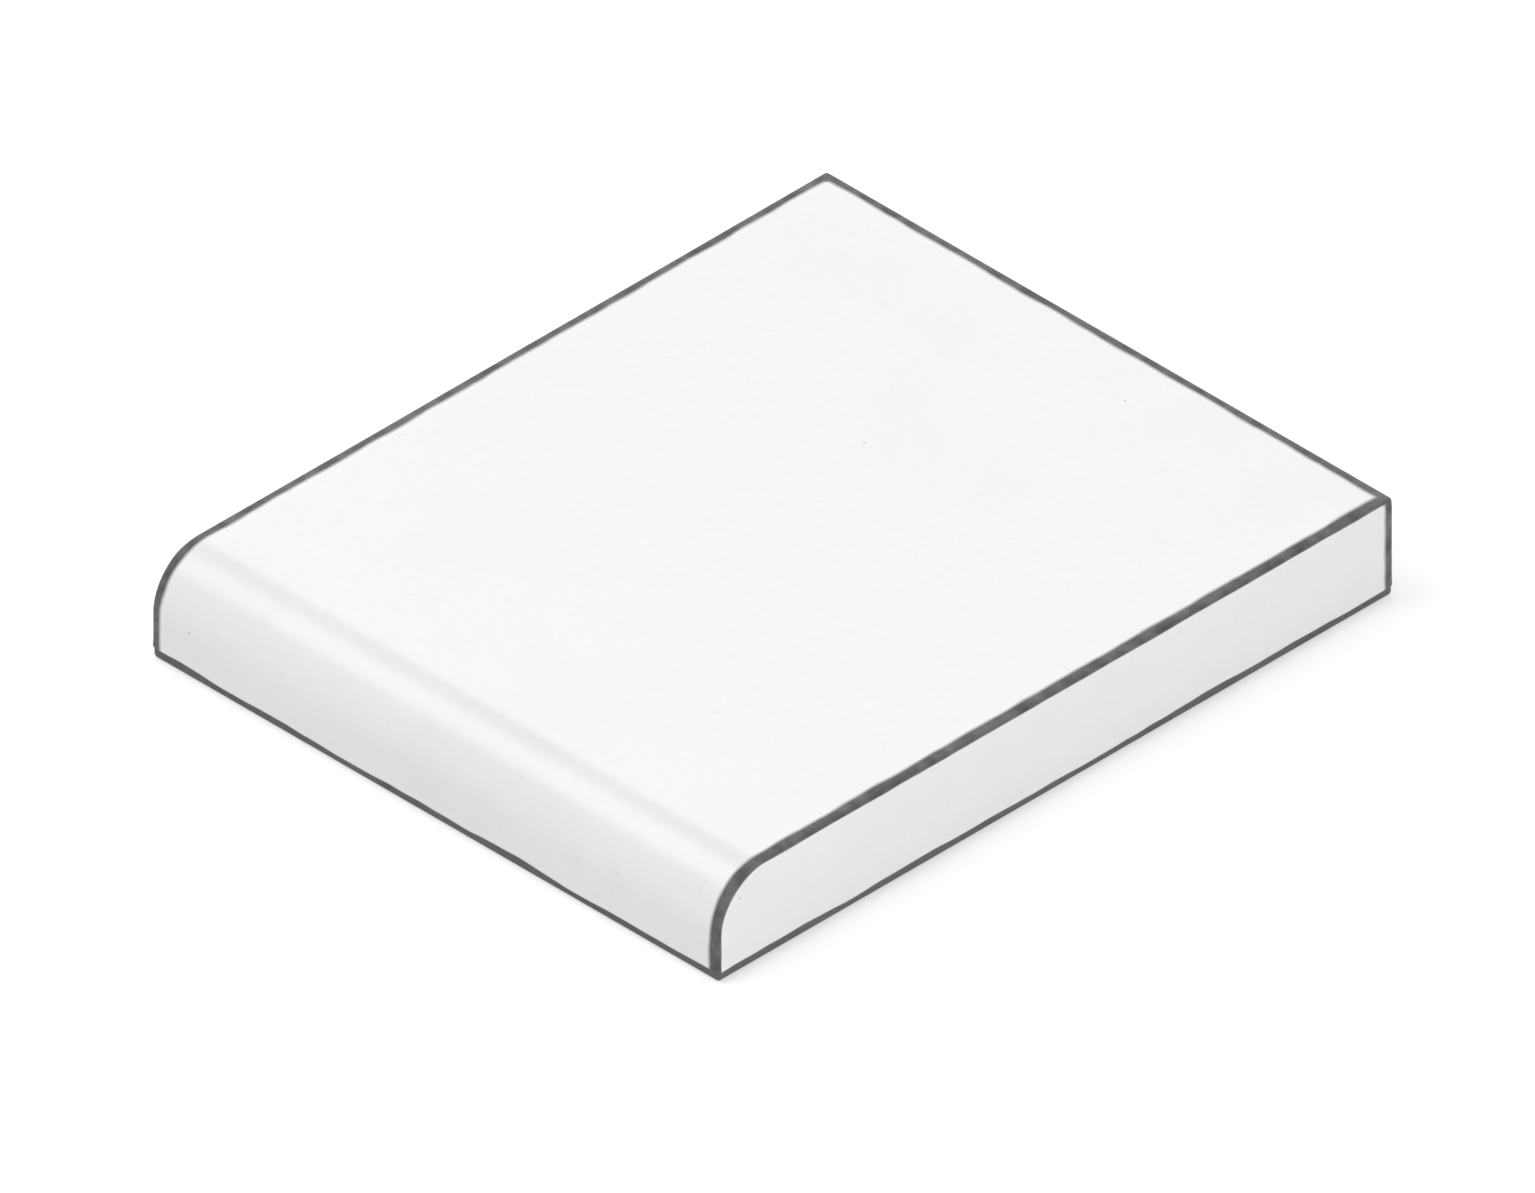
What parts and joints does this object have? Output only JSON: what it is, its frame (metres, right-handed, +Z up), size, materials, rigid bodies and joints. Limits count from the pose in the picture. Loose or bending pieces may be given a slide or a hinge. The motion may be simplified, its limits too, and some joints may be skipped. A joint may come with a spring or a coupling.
{
  "type": "bullnose tile",
  "caption": "Thick rectangular glazed ceramic trim tile, flat faced, with its long front top edge rounded over to finish the open edge of a tiled floor, step or sill.",
  "frame": {"origin": "centre of the bed face, the flat underside that is bonded down", "axes": "+Z up out of the glazed top face, X along the rounded nose, and the nose faces -Y"},
  "size_m": [0.128, 0.1524, 0.0191],
  "materials": {
    "glazed_clay": "gloss"
  },
  "bodies": {
    "root": {"bullnose_tile": "glazed_clay"}
  },
  "joints": []
}
